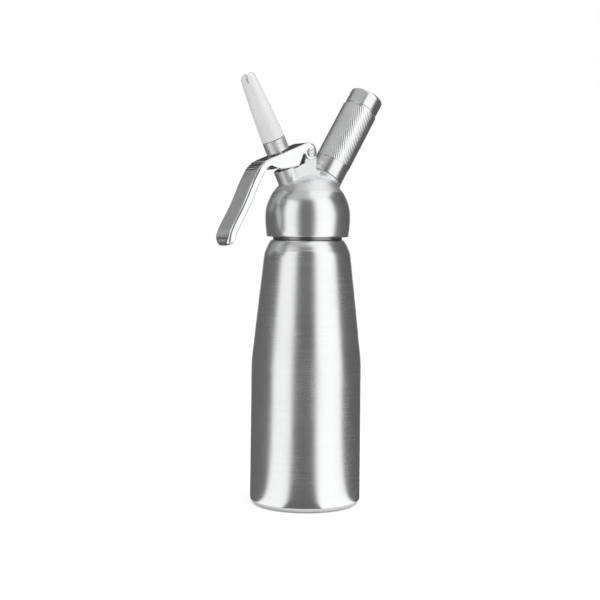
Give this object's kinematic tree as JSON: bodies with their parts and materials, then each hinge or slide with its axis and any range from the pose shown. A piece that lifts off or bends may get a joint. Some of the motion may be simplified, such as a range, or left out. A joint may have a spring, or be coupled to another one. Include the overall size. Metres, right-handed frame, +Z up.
{
  "type": "whipped cream dispenser",
  "caption": "Aluminium whipped cream dispenser with a screwed head, a hinged squeeze lever, a plastic decorating tip and a knurled gas charger holder.",
  "frame": {"origin": "centre of the bottle's flat base, on the surface it stands on", "axes": "+Z up along the bottle, +X towards the charger holder, -X towards the lever and the decorating tip, XZ the head's plane of symmetry"},
  "size_m": [0.1362, 0.082, 0.3191],
  "materials": {
    "brushed_aluminium": "brushed round",
    "satin_aluminium": "satin",
    "knurled_aluminium": "knurled and turned",
    "lever_chrome": "polished",
    "plated_steel": "turned",
    "white_plastic": "satin",
    "pale_rubber": "matte",
    "black_rubber": "matte",
    "red_rubber": "matte"
  },
  "bodies": {
    "bottle": {"bottle": "brushed_aluminium"},
    "gasket": {"head_gasket": "pale_rubber"},
    "head": {"head": "satin_aluminium", "pivot_screw": "plated_steel", "pivot_nut": "plated_steel", "stem_bush": "plated_steel", "stem_seal_ring": "black_rubber", "piercing_nipple": "plated_steel", "nipple_nut": "plated_steel", "check_valve": "black_rubber", "piercing_pin": "plated_steel", "charger_seal": "red_rubber"},
    "lever": {"lever": "lever_chrome"},
    "stem": {"dispensing_stem": "plated_steel", "valve_seal": "pale_rubber", "valve_nut": "plated_steel", "thrust_collar": "plated_steel", "return_spring": "plated_steel", "nozzle_adapter": "plated_steel"},
    "washer": {"tip_washer": "pale_rubber"},
    "tip": {"decorating_tip": "white_plastic"},
    "charger": {"gas_charger": "plated_steel"},
    "holder": {"charger_holder": "knurled_aluminium"}
  },
  "joints": [
    {"name": "head_lift", "type": "slide", "parent": "bottle", "child": "gasket", "axis": [0, 0, 1], "range_m": [0, 0.006]},
    {"name": "head_turn", "type": "hinge", "parent": "gasket", "child": "head", "pos_m": [0, 0, 0.205], "axis": [0, 0, 1], "range_deg": [0, 725]},
    {"name": "lever_squeeze", "type": "hinge", "parent": "head", "child": "lever", "pos_m": [-0.0039, 0, 0.262], "axis": [0, -1, 0], "range_deg": [0, 11], "stiffness_Nm_per_rad": 1.5, "springref_deg": -8.59},
    {"name": "stem_press", "type": "slide", "parent": "head", "child": "stem", "axis": [0.4446, 0, -0.8957], "range_m": [0, 0.00385], "deforming": ["return_spring"]},
    {"name": "tip_lift", "type": "slide", "parent": "stem", "child": "washer", "axis": [-0.4446, 0, 0.8957], "range_m": [0, 0.004]},
    {"name": "tip_turn", "type": "hinge", "parent": "washer", "child": "tip", "pos_m": [-0.0205, 0, 0.2503], "axis": [-0.4446, 0, 0.8957], "range_deg": [0, 725]},
    {"name": "charger_draw", "type": "slide", "parent": "head", "child": "charger", "axis": [0.5135, 0, 0.8581], "range_m": [0, 0.005]},
    {"name": "holder_turn", "type": "hinge", "parent": "charger", "child": "holder", "pos_m": [0.0148, 0, 0.2442], "axis": [0.5135, 0, 0.8581], "range_deg": [0, 905]}
  ],
  "couplings": [
    {"joint": "head_turn", "follows": "head_lift", "rad_per_m": 2094.4},
    {"joint": "stem_press", "follows": "lever_squeeze", "m_per_rad": 0.01992},
    {"joint": "tip_turn", "follows": "tip_lift", "rad_per_m": 3141.6},
    {"joint": "holder_turn", "follows": "charger_draw", "rad_per_m": 3141.6}
  ]
}
